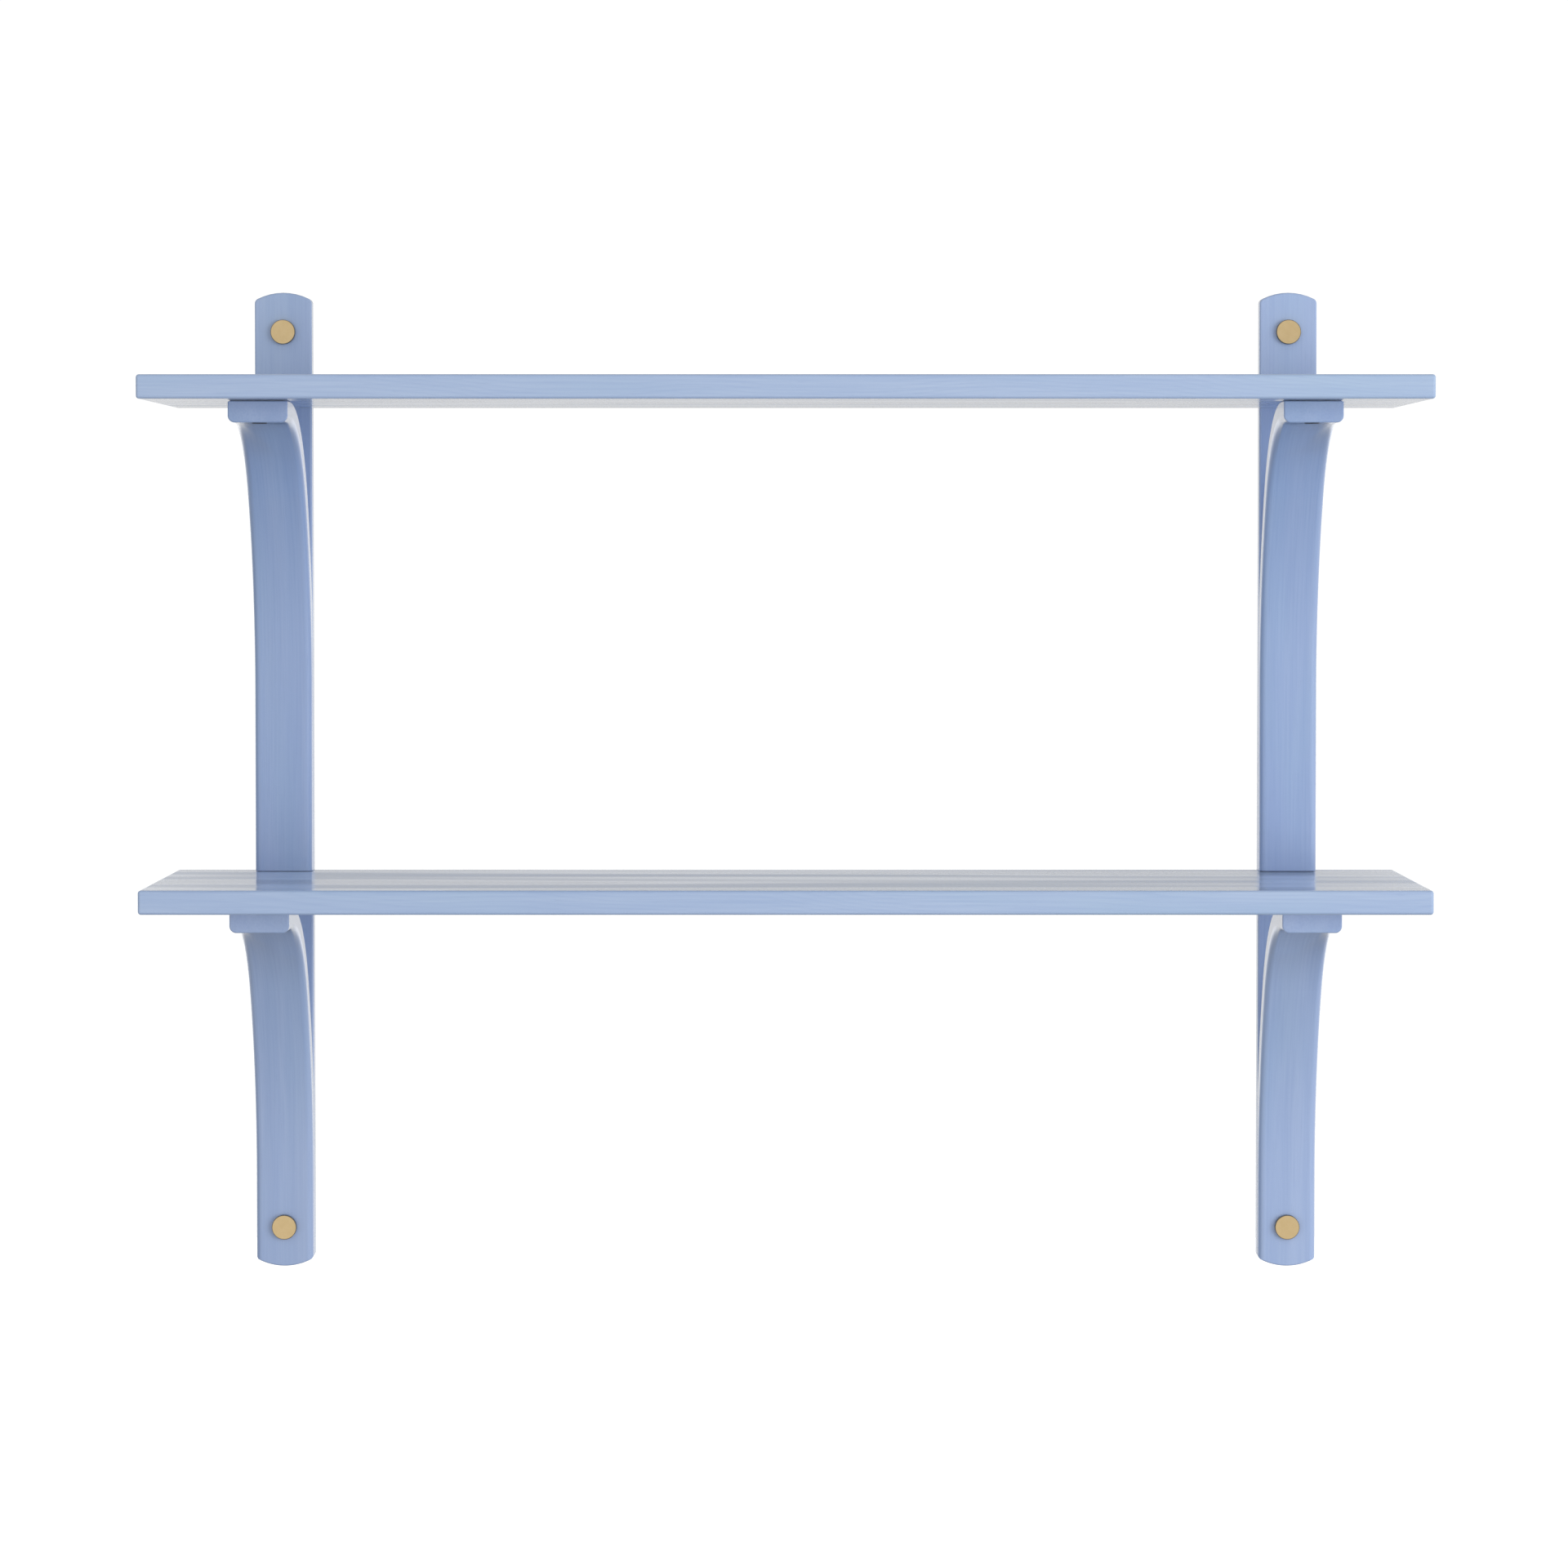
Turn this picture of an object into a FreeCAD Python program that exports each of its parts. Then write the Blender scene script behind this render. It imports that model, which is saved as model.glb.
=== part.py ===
import FreeCAD, Part
import math
import os
import Sketcher

# Two-board wall shelf on two bent-wood brackets.
# Frame: the wall is the plane Y = 0 and the front is -Y. X runs along the boards and Z is up.
# The origin is the centre of the four wall screws, where they enter the wall.

doc = FreeCAD.newDocument("wall_shelf")

# ---------------------------------------------------------------- driving dimensions (mm, degrees)

DIMENSIONS = [
    ("board_length", 900.0, "length of a board"),
    ("board_depth", 200.0, "from the wall to the board's front"),
    ("board_thick", 17.0, "thickness of a board"),
    ("board_round", 2.2, "rounding of every board edge"),
    ("board_step", 358.0, "from the top of one board to the top of the other"),
    ("upper_board_top", 291.0, "height of the upper board's top"),
    ("notch_gap", 0.3, "play between a board's notch and the upright in it"),

    ("bracket_width", 42.0, "width of uprights and arms"),
    ("bracket_step", 739.0, "between the centre lines of the two brackets"),
    ("upright_height", 717.0, "from crown to crown"),
    ("upright_thick", 10.5, "thickness of the strip against the wall"),
    ("crown_radius", 42.0, "radius of a bracket's rounded end"),
    ("crown_corner", 4.0, "corner between a crowned end and the sides"),
    ("crown_strip", 16.0, "length of a lower arm's end that is trimmed to the crowned outline"),
    ("strip_round", 1.5, "rounding of the upright's front edges"),

    ("arm_thick", 15.5, "thickness of a bent arm"),
    ("arm_reach", 167.0, "from the wall to the arm's front end"),
    ("leg_front", 19.0, "from the wall to the front of an arm's tail"),
    ("sweep_radius", 285.0, "long bend, on the hollow side"),
    ("sweep_angle", 30.0, "turn of the long bend, in degrees"),
    ("knee_radius", 103.0, "tight bend, on the hollow side"),
    ("arm_edge", 4.8, "rounding of the arm's lower, hollow-side edges"),
    ("arm_back_edge", 1.6, "rounding of the arm's upper, wall-side edges"),
    ("end_round", 1.2, "rounding round an arm's front end and a crowned end's rim"),
    ("rebate_height", 0.7, "shadow line between an arm's front end and the board"),
    ("rebate_depth", 6.0, "how far the shadow line reaches in"),
    ("tail_gap", 0.3, "between an upper arm's tail and the lower board"),

    ("wall_screw_step", 659.0, "vertical distance of the wall screws"),
    ("wall_screw_diameter", 5.0, "wall screw's thread, over its crests"),
    ("wall_screw_shank", 4.2, "wall screw's plain shank inside the wood"),
    ("wall_screw_head", 10.0, "wall screw's countersunk head"),
    ("wall_screw_reach", 50.0, "length of a wall screw behind the wall's surface"),
    ("wall_screw_tip", 8.0, "length of a wall screw's point"),
    ("wall_screw_play", 0.3, "play around a wall screw's thread, on the radius"),
    ("wall_screw_slot", 3.6, "half length of the recess in a wall screw's head"),
    ("cap_thread", 3.0, "thread between cap and wall screw"),
    ("cap_thread_depth", 3.0, "how far the cap's thread reaches into the screw"),

    ("cap_diameter", 18.0, "brass cap's disc"),
    ("cap_height", 3.6, "how far the cap stands out of the wood"),
    ("cap_neck", 15.0, "diameter of the cap's seat on the wood"),
    ("cap_neck_height", 0.6, "shadow gap behind the cap's disc"),
    ("cap_round", 0.5, "rounding of the cap's front edge"),

    ("board_screw_inset", 12.0, "from the arm's front end to the board screw"),
    ("board_screw_diameter", 4.0, "board screw's shank"),
    ("board_screw_head", 10.5, "board screw's flat head"),
    ("board_screw_head_height", 2.8, "height of that head"),
    ("board_screw_round", 0.3, "rounding of the head's rim"),
    ("board_screw_proud", 0.45, "how far the head stands out of the arm"),
    ("board_screw_grip", 13.0, "board screw's length inside the board"),
    ("board_screw_slot", 2.3, "half length of the recess in a board screw's head"),
    ("counterbore_diameter", 11.5, "hole for the board screw's head"),

    ("arm_screw_diameter", 4.0, "shank of the screws from upright to arm"),
    ("arm_screw_head", 8.0, "their countersunk head"),
    ("arm_screw_length", 16.0, "their length, flush with the upright's back"),
    ("arm_screw_slot", 2.4, "half length of the recess in their heads"),
    ("arm_screw_low", 290.0, "drop of an upper arm's lower screw below the board"),
    ("arm_screw_high", 175.0, "drop of every arm's upper screw"),
    ("arm_screw_end", 214.0, "drop of a lower arm's lower screw, clear of the wall screw"),
    ("screw_play", 0.05, "play between a screw and its hole, on the radius"),
    ("slot_width", 1.2, "width of a screw head's cross recess"),
    ("slot_depth", 1.6, "depth of the cross recess"),
]

sheet = doc.addObject("Spreadsheet::Sheet", "Sizes")
for row, (alias, value, note) in enumerate(DIMENSIONS, start=1):
    sheet.set(f"A{row}", alias)
    sheet.set(f"B{row}", str(value))
    sheet.set(f"C{row}", note)
    sheet.setAlias(f"B{row}", alias)
doc.recompute()


def size(alias):
    """A driving dimension's value, for starting a sketch near its solved shape."""
    return float(sheet.get(alias))


# ---------------------------------------------------------------- helpers

# Centre lines of the two brackets, tops of the arms, and the screws that hold arms and uprights together
# (each is a drop below the arm's top).
BRACKETS = {"left": "-Sizes.bracket_step / 2", "right": "Sizes.bracket_step / 2"}
ARM_TOPS = {
    "upper": "(Sizes.upper_board_top - Sizes.board_thick)",
    "lower": "(Sizes.upper_board_top - Sizes.board_step - Sizes.board_thick)",
}
ARM_SCREWS = {
    "upper": ["Sizes.arm_screw_high", "Sizes.arm_screw_low"],
    "lower": ["Sizes.arm_screw_high", "Sizes.arm_screw_end"],
}

# Height of a board screw's seat, measured from the arm's top.
BOARD_SCREW_SEAT = "(Sizes.board_screw_head_height - Sizes.board_screw_proud - Sizes.arm_thick)"

# Sketcher's own numbers for its origin, its axes and the points of an edge.
ORIGIN = (-1, 1)
X_AXIS = -1
Y_AXIS = -2
START, END, CENTRE = 1, 2, 3

sub_parts = []


def new_body(name):
    """A body for one piece; its label names the exported file."""
    body = doc.addObject("PartDesign::Body", name)
    body.Label = name
    sub_parts.append(body)
    return body


def place(body, x="0", y="0", z="0"):
    """Puts a body at expressions of the driving dimensions."""
    body.setExpression(".Placement.Base.x", x)
    body.setExpression(".Placement.Base.y", y)
    body.setExpression(".Placement.Base.z", z)


def sketch_on(body, role, name):
    """A sketch on one of the body's own origin planes."""
    sketch = body.newObject("Sketcher::SketchObject", name)
    planes = [item for item in body.Origin.OriginFeatures if item.Role == role]
    sketch.AttachmentSupport = (planes[0], [""])
    sketch.MapMode = "FlatFace"
    return sketch


def line(sketch, start, end):
    return sketch.addGeometry(Part.LineSegment(FreeCAD.Vector(*start, 0), FreeCAD.Vector(*end, 0)))


def arc(sketch, centre, radius, from_degrees, to_degrees):
    circle = Part.Circle(FreeCAD.Vector(*centre, 0), FreeCAD.Vector(0, 0, 1), radius)
    first, last = math.radians(from_degrees), math.radians(to_degrees)
    return sketch.addGeometry(Part.ArcOfCircle(circle, first, last))


def rule(sketch, kind, *items):
    return sketch.addConstraint(Sketcher.Constraint(kind, *items))


def bind(sketch, kind, name, expression, *items):
    """A named dimension of a sketch, driven by the sheet."""
    if kind == "Radius":
        start = sketch.Geometry[items[0]].Radius
    elif kind == "Angle":
        start = sketch.Geometry[items[0]].LastParameter - sketch.Geometry[items[0]].FirstParameter
    else:
        first, second = sketch.getPoint(*items[:2]), sketch.getPoint(*items[2:])
        start = (second - first).x if kind == "DistanceX" else (second - first).y
    index = sketch.addConstraint(Sketcher.Constraint(kind, *items, start))
    sketch.renameConstraint(index, name)
    sketch.setExpression(f"Constraints.{name}", expression)


def polygon(sketch, name, corners):
    """A closed polygon; each corner is a pair of expressions measured from the sketch's origin."""
    count = len(corners)
    turns = [2 * math.pi * i / count for i in range(count)]
    start = [(math.cos(angle), math.sin(angle)) for angle in turns]
    sides = [line(sketch, start[i], start[(i + 1) % count]) for i in range(count)]
    for i, (x, y) in enumerate(corners):
        rule(sketch, "Coincident", sides[i - 1], END, sides[i], START)
        bind(sketch, "DistanceX", f"{name}_x{i}", x, *ORIGIN, sides[i], START)
        bind(sketch, "DistanceY", f"{name}_y{i}", y, *ORIGIN, sides[i], START)


def rectangle(sketch, name, left, right, bottom, top):
    polygon(sketch, name, [(left, bottom), (right, bottom), (right, top), (left, top)])


def circle(sketch, name, x, y, radius):
    """A full circle whose centre and radius are expressions."""
    index = sketch.addGeometry(Part.Circle(FreeCAD.Vector(0, 0, 0), FreeCAD.Vector(0, 0, 1), 1.0))
    bind(sketch, "Radius", f"{name}_radius", radius, index)
    bind(sketch, "DistanceX", f"{name}_x", x, *ORIGIN, index, CENTRE)
    bind(sketch, "DistanceY", f"{name}_y", y, *ORIGIN, index, CENTRE)


def pad(body, sketch, name, length, midplane=False, reverse=False):
    feature = body.newObject("PartDesign::Pad", name)
    feature.Profile = sketch
    feature.Midplane = midplane
    feature.Reversed = reverse
    feature.setExpression("Length", length)
    doc.recompute()
    return feature


def pocket(body, sketch, name, length=None, reverse=False):
    """Cuts to a depth, or right through on both sides when no length is given; it must remove material."""
    before = body.Shape.Volume
    feature = body.newObject("PartDesign::Pocket", name)
    feature.Profile = sketch
    feature.Reversed = reverse
    if length is None:
        feature.Type = "ThroughAll"
        feature.Midplane = True
    else:
        feature.setExpression("Length", length)
    doc.recompute()
    check_cut(body, before, name)
    return feature


def turn(body, sketch, name):
    """Revolves a half section about the sketch's vertical axis."""
    feature = body.newObject("PartDesign::Revolution", name)
    feature.Profile = sketch
    feature.ReferenceAxis = (sketch, ["V_Axis"])
    feature.Angle = 360
    doc.recompute()
    return feature


def groove(body, sketch, name):
    """Turns a half section about the sketch's vertical axis and removes it."""
    before = body.Shape.Volume
    feature = body.newObject("PartDesign::Groove", name)
    feature.Profile = sketch
    feature.ReferenceAxis = (sketch, ["V_Axis"])
    feature.Angle = 360
    doc.recompute()
    check_cut(body, before, name)
    return feature


def check_cut(body, before, name):
    if body.Shape.Volume > before - 0.5:
        raise RuntimeError(f"{name} of {body.Label} cuts nothing")


def fillet(body, base, edges, name, radius):
    feature = body.newObject("PartDesign::Fillet", name)
    feature.Base = (base, edges)
    feature.setExpression("Radius", radius)
    doc.recompute()
    return feature


def side_edges(feature, lines, radii):
    """Names of the edges along a bracket's sides: lines at a Y or Z, arcs of the given radii about X."""
    half = size("bracket_width") / 2
    found = []
    for number, edge in enumerate(feature.Shape.Edges, start=1):
        ends = [vertex.Point for vertex in edge.Vertexes]
        if any(abs(abs(end.x) - half) > 0.01 for end in ends) or ends[0].x * ends[-1].x < 0:
            continue
        if edge.Curve.TypeId == "Part::GeomCircle":
            wanted = any(abs(edge.Curve.Radius - radius) < 0.01 for radius in radii)
        else:
            wanted = any(all(abs(getattr(end, axis) - value) < 0.01 for end in ends)
                         for axis, value in lines)
        if wanted:
            found.append(f"Edge{number}")
    return found


def rim_edges(feature, normal, distance):
    """Names of the edges round the flat face with this outward normal at this distance along it."""
    for face in feature.Shape.Faces:
        flat = face.Surface.TypeId == "Part::GeomPlane"
        if flat and face.normalAt(0, 0).dot(normal) > 0.999:
            if abs(face.CenterOfMass.dot(normal) - distance) < 0.01:
                numbered = enumerate(feature.Shape.Edges, start=1)
                return [f"Edge{n}" for n, edge in numbered if any(edge.isSame(own) for own in face.Edges)]
    raise RuntimeError(f"{feature.Name} has no such face")


# ---------------------------------------------------------------- boards

def make_board(name, top):
    """A flat board, rounded all over and notched round the two uprights; its top is at z = 0."""
    body = new_body(name)
    blank = sketch_on(body, "XY_Plane", f"{name}_blank")
    half = "Sizes.board_length / 2"
    rectangle(blank, "blank", f"-{half}", half, "-Sizes.board_depth", "0")
    block = pad(body, blank, f"{name}_block", "Sizes.board_thick", reverse=True)
    every_edge = [f"Edge{number + 1}" for number in range(len(block.Shape.Edges))]
    fillet(body, block, every_edge, f"{name}_edges", "Sizes.board_round")

    notches = sketch_on(body, "XY_Plane", f"{name}_notches")
    screws = sketch_on(body, "XY_Plane", f"{name}_screw_holes")
    screws.setExpression(".AttachmentOffset.Base.z", "-Sizes.board_thick")
    reach = "(Sizes.bracket_width / 2 + Sizes.notch_gap)"
    depth = "-Sizes.upright_thick - Sizes.notch_gap"
    inset = "Sizes.board_screw_inset - Sizes.arm_reach"
    for side, middle in BRACKETS.items():
        rectangle(notches, side, f"{middle} - {reach}", f"{middle} + {reach}", depth, "Sizes.board_round")
        circle(screws, side, middle, inset, "Sizes.board_screw_diameter / 2 + Sizes.screw_play")
    pocket(body, notches, f"{name}_notch_cut")
    pocket(body, screws, f"{name}_screw_cut", "Sizes.board_screw_grip", reverse=True)
    place(body, z=top)


# ---------------------------------------------------------------- crowned ends

def crown_arcs(sketch, up):
    """Corner, crown and corner of a bracket's top (up = 1) or bottom (up = -1) end."""
    radius, corner = size("crown_radius"), size("crown_corner")
    inset = size("bracket_width") / 2 - corner
    rise = math.sqrt((radius - corner) ** 2 - inset**2)
    angle = math.degrees(math.acos(inset / (radius - corner)))
    centre_z = up * (size("upright_height") / 2 - radius)
    corner_z = centre_z + up * rise
    if up > 0:
        right = arc(sketch, (inset, corner_z), corner, 0, angle)
        crown = arc(sketch, (0, centre_z), radius, angle, 180 - angle)
        left = arc(sketch, (-inset, corner_z), corner, 180 - angle, 180)
        rule(sketch, "Tangent", right, END, crown, START)
        rule(sketch, "Tangent", crown, END, left, START)
    else:
        right = arc(sketch, (inset, corner_z), corner, 360 - angle, 360)
        crown = arc(sketch, (0, centre_z), radius, 180 + angle, 360 - angle)
        left = arc(sketch, (-inset, corner_z), corner, 180, 180 + angle)
        rule(sketch, "Tangent", right, START, crown, END)
        rule(sketch, "Tangent", crown, START, left, END)
    end = "top" if up > 0 else "bottom"
    sign = "" if up > 0 else "-"
    rule(sketch, "PointOnObject", crown, CENTRE, Y_AXIS)
    rule(sketch, "Equal", right, left)
    bind(sketch, "Radius", f"{end}_crown", "Sizes.crown_radius", crown)
    bind(sketch, "Radius", f"{end}_corner", "Sizes.crown_corner", right)
    height = f"{sign}(Sizes.upright_height / 2 - Sizes.crown_radius)"
    bind(sketch, "DistanceY", f"{end}_height", height, *ORIGIN, crown, CENTRE)
    return right, left


def crown_side(sketch, start, end, x):
    """A straight side of a crowned outline; start and end are points of its corner arcs or None."""
    first, last = sketch.getPoint(*start), sketch.getPoint(*end)
    side = line(sketch, (first.x, first.y), (last.x, last.y))
    rule(sketch, "Tangent", *start, side, START)
    rule(sketch, "Tangent", side, END, *end)
    rule(sketch, "Vertical", side)
    bind(sketch, "DistanceX", f"side_{side}", x, *ORIGIN, side, START)


# ---------------------------------------------------------------- holes

def turned_hole(body, name, height, corners):
    """A round hole along Y at a height, cut by turning a half section; corners are (radius, y) pairs."""
    sketch = sketch_on(body, "XY_Plane", f"{name}_section")
    sketch.setExpression(".AttachmentOffset.Base.z", height)
    polygon(sketch, "section", corners)
    groove(body, sketch, f"{name}_cut")


def wall_hole(body, name, height, front=None):
    """A wall screw's hole right through, countersunk from the front surface if its y is given."""
    hole = "Sizes.wall_screw_diameter / 2 + Sizes.wall_screw_play"
    head = "Sizes.wall_screw_head / 2"
    beyond = "Sizes.leg_front * 2"
    if front is None:
        corners = [("0", beyond), (hole, beyond), (hole, f"-{beyond}"), ("0", f"-{beyond}")]
    else:
        cone = f"{front} + {head} - ({hole})"
        corners = [("0", beyond), (hole, beyond), (hole, cone), (head, front), ("0", front)]
    turned_hole(body, name, height, corners)


def arm_screw_hole(body, name, height, countersunk):
    """A hole for a screw driven from behind; in the upright its mouth is countersunk."""
    hole = "Sizes.arm_screw_diameter / 2 + Sizes.screw_play"
    head = "Sizes.arm_screw_head / 2"
    bottom = "-Sizes.arm_screw_length - Sizes.screw_play"
    if countersunk:
        corners = [("0", bottom), (hole, bottom), (hole, f"{hole} - {head}"), (head, "0"), ("0", "0")]
    else:
        corners = [("0", bottom), (hole, bottom), (hole, "0"), ("0", "0")]
    turned_hole(body, name, height, corners)


# ---------------------------------------------------------------- uprights

def make_upright(side):
    """The strip against the wall, crowned at both ends, its front edges rounded."""
    name = f"{side}_upright"
    body = new_body(name)
    outline = sketch_on(body, "XZ_Plane", f"{name}_outline")
    top_right, top_left = crown_arcs(outline, 1)
    low_right, low_left = crown_arcs(outline, -1)
    crown_side(outline, (low_right, END), (top_right, START), "Sizes.bracket_width / 2")
    crown_side(outline, (top_left, END), (low_left, START), "-Sizes.bracket_width / 2")
    strip = pad(body, outline, f"{name}_strip", "Sizes.upright_thick")
    front = rim_edges(strip, FreeCAD.Vector(0, -1, 0), size("upright_thick"))
    fillet(body, strip, front, f"{name}_edges", "Sizes.strip_round")

    wall_hole(body, f"{name}_top_hole", "Sizes.wall_screw_step / 2", "-Sizes.upright_thick")
    wall_hole(body, f"{name}_bottom_hole", "-Sizes.wall_screw_step / 2")
    for level, top in ARM_TOPS.items():
        for number, drop in enumerate(ARM_SCREWS[level], start=1):
            arm_screw_hole(body, f"{name}_{level}_hole_{number}", f"{top} - {drop}", countersunk=True)
    place(body, x=BRACKETS[side])


# ---------------------------------------------------------------- arms

def arm_outline(body, name, tail):
    """The arm's side view: two arcs on the hollow side, two concentric ones on the wall side."""
    sketch = sketch_on(body, "YZ_Plane", f"{name}_outline")
    thick, reach, front = size("arm_thick"), size("arm_reach"), size("leg_front")
    sweep, knee, turned = size("sweep_radius"), size("knee_radius"), size("sweep_angle")
    back = -size("upright_thick")
    sine, cosine = math.sin(math.radians(turned)), math.cos(math.radians(turned))
    sweep_y, sweep_z = -(front + sweep), -(thick + (sweep - knee) * sine + knee)
    knee_y, knee_z = -(front + sweep * (1 - cosine) + knee * cosine), -(thick + knee)
    end = sweep_z - front
    meet = math.degrees(math.acos((back - sweep_y) / (sweep + thick)))
    meet_z = sweep_z + (sweep + thick) * math.sin(math.radians(meet))

    top = line(sketch, (-reach, 0), (knee_y, 0))
    outer_knee = arc(sketch, (knee_y, knee_z), knee + thick, turned, 90)
    outer_sweep = arc(sketch, (sweep_y, sweep_z), sweep + thick, meet, turned)
    flat_back = line(sketch, (back, meet_z), (back, end))
    tail_end = line(sketch, (back, end), (-front, end))
    leg = line(sketch, (-front, end), (-front, sweep_z))
    inner_sweep = arc(sketch, (sweep_y, sweep_z), sweep, 0, turned)
    inner_knee = arc(sketch, (knee_y, knee_z), knee, turned, 90)
    bottom = line(sketch, (knee_y, -thick), (-reach, -thick))
    nose = line(sketch, (-reach, -thick), (-reach, 0))

    rule(sketch, "Tangent", top, END, outer_knee, END)
    rule(sketch, "Tangent", outer_knee, START, outer_sweep, END)
    rule(sketch, "Coincident", outer_sweep, START, flat_back, START)
    rule(sketch, "Coincident", flat_back, END, tail_end, START)
    rule(sketch, "Coincident", tail_end, END, leg, START)
    rule(sketch, "Tangent", leg, END, inner_sweep, START)
    rule(sketch, "Tangent", inner_sweep, END, inner_knee, START)
    rule(sketch, "Tangent", inner_knee, END, bottom, START)
    rule(sketch, "Coincident", bottom, END, nose, START)
    rule(sketch, "Coincident", nose, END, top, START)
    rule(sketch, "Coincident", outer_knee, CENTRE, inner_knee, CENTRE)
    rule(sketch, "Coincident", outer_sweep, CENTRE, inner_sweep, CENTRE)
    for flat in (top, tail_end, bottom):
        rule(sketch, "Horizontal", flat)
    for plumb in (flat_back, leg, nose):
        rule(sketch, "Vertical", plumb)
    rule(sketch, "PointOnObject", top, START, X_AXIS)
    bind(sketch, "DistanceX", "reach", "-Sizes.arm_reach", *ORIGIN, top, START)
    bind(sketch, "DistanceX", "leg_front", "-Sizes.leg_front", *ORIGIN, leg, START)
    bind(sketch, "DistanceX", "back", "-Sizes.upright_thick", *ORIGIN, flat_back, START)
    bind(sketch, "DistanceY", "thickness", "Sizes.arm_thick", nose, START, nose, END)
    bind(sketch, "DistanceY", "tail", f"-({tail})", *ORIGIN, leg, START)
    bind(sketch, "Radius", "sweep", "Sizes.sweep_radius", inner_sweep)
    bind(sketch, "Radius", "knee", "Sizes.knee_radius", inner_knee)
    bind(sketch, "Angle", "turn", "Sizes.sweep_angle * 1 deg", inner_sweep)
    doc.recompute()
    return sketch


def round_arm_edges(body, band, name):
    """Rounds the long edges of the hollow side, then those of the wall side, then the front end's rim."""
    thick, sweep, knee = size("arm_thick"), size("sweep_radius"), size("knee_radius")
    hollow = side_edges(band, [("y", -size("leg_front")), ("z", -thick)], [sweep, knee])
    lower = fillet(body, band, hollow, f"{name}_lower_edges", "Sizes.arm_edge")
    wall_lines = [("y", -size("upright_thick")), ("z", 0)]
    wall_side = side_edges(lower, wall_lines, [sweep + thick, knee + thick])
    upper = fillet(body, lower, wall_side, f"{name}_upper_edges", "Sizes.arm_back_edge")
    nose = rim_edges(upper, FreeCAD.Vector(0, -1, 0), size("arm_reach"))
    fillet(body, upper, nose, f"{name}_nose_rim", "Sizes.end_round")


def board_screw_hole(body, name):
    """Vertical hole for the board screw, with a flat-bottomed counterbore in the arm's underside."""
    sketch = sketch_on(body, "XZ_Plane", f"{name}_board_hole_section")
    sketch.setExpression(".AttachmentOffset.Base.z", "Sizes.arm_reach - Sizes.board_screw_inset")
    hole = "Sizes.board_screw_diameter / 2 + Sizes.screw_play"
    bore = "Sizes.counterbore_diameter / 2"
    below = "-Sizes.arm_thick * 2"
    corners = [("0", "0"), (hole, "0"), (hole, BOARD_SCREW_SEAT), (bore, BOARD_SCREW_SEAT), (bore, below),
               ("0", below)]
    polygon(sketch, "section", corners)
    groove(body, sketch, f"{name}_board_hole")


def shadow_line(body, name):
    """A low rebate across the top of the arm's front end; the board throws it into shadow."""
    sketch = sketch_on(body, "YZ_Plane", f"{name}_rebate")
    left, right = "-Sizes.arm_reach - Sizes.rebate_depth", "-Sizes.arm_reach + Sizes.rebate_depth"
    rectangle(sketch, "rebate", left, right, "-Sizes.rebate_height", "Sizes.rebate_height")
    pocket(body, sketch, f"{name}_rebate_cut")


def shape_arm(body, name, level):
    """The bent band with its rounded edges and its holes, its top at z = 0 and its tail square."""
    if level == "upper":
        tail = "Sizes.board_step - Sizes.board_thick - Sizes.tail_gap"
    else:
        tail = f"Sizes.upright_height / 2 + {ARM_TOPS['lower']}"
    outline = arm_outline(body, name, tail)
    band = pad(body, outline, f"{name}_blank", "Sizes.bracket_width", midplane=True)
    round_arm_edges(body, band, name)
    shadow_line(body, name)
    board_screw_hole(body, name)
    for number, drop in enumerate(ARM_SCREWS[level], start=1):
        arm_screw_hole(body, f"{name}_screw_hole_{number}", f"-{drop}", countersunk=False)


def make_upper_arm(side):
    """An upper arm: flat under the board, knee, long sweep, and a tail that stops on the lower board."""
    name = f"upper_{side}_arm"
    body = new_body(name)
    shape_arm(body, name, "upper")
    place(body, x=BRACKETS[side], z=ARM_TOPS["upper"])


def make_crown_template():
    """All that a lower arm may fill: the crowned strip at its end, and a block round the rest."""
    body = doc.addObject("PartDesign::Body", "crown_template")
    lift = f"-{ARM_TOPS['lower']}"
    join = "-Sizes.upright_height / 2 + Sizes.crown_strip"
    strip = sketch_on(body, "XZ_Plane", "crown_template_strip")
    strip.setExpression(".AttachmentOffset.Base.y", lift)
    right, left = crown_arcs(strip, -1)
    half = size("bracket_width") / 2
    side_z = strip.getPoint(right, END).y
    join_z = side_z + size("crown_corner")
    up = line(strip, (half, side_z), (half, join_z))
    over = line(strip, (half, join_z), (-half, join_z))
    down = line(strip, (-half, join_z), (-half, side_z))
    rule(strip, "Tangent", right, END, up, START)
    rule(strip, "Tangent", down, END, left, START)
    rule(strip, "Coincident", up, END, over, START)
    rule(strip, "Coincident", over, END, down, START)
    rule(strip, "Vertical", up)
    rule(strip, "Vertical", down)
    rule(strip, "Horizontal", over)
    bind(strip, "DistanceX", "right_side", "Sizes.bracket_width / 2", *ORIGIN, up, START)
    bind(strip, "DistanceX", "left_side", "-Sizes.bracket_width / 2", *ORIGIN, down, START)
    bind(strip, "DistanceY", "join", join, *ORIGIN, over, START)
    end = pad(body, strip, "crown_template_end", "Sizes.leg_front")
    front = rim_edges(end, FreeCAD.Vector(0, -1, 0), size("leg_front"))
    straight_top = [f"Edge{n}" for n, edge in enumerate(end.Shape.Edges, start=1)
                    if edge.BoundBox.ZMin > end.Shape.BoundBox.ZMax - 0.01]
    rim = [edge for edge in front if edge not in straight_top]
    fillet(body, end, rim, "crown_template_rim", "Sizes.end_round")

    block = sketch_on(body, "XZ_Plane", "crown_template_block")
    block.setExpression(".AttachmentOffset.Base.y", lift)
    beyond = "Sizes.upper_board_top"
    rectangle(block, "block", "-Sizes.bracket_width", "Sizes.bracket_width", join, beyond)
    pad(body, block, "crown_template_rest", "Sizes.board_depth")
    return body


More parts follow.
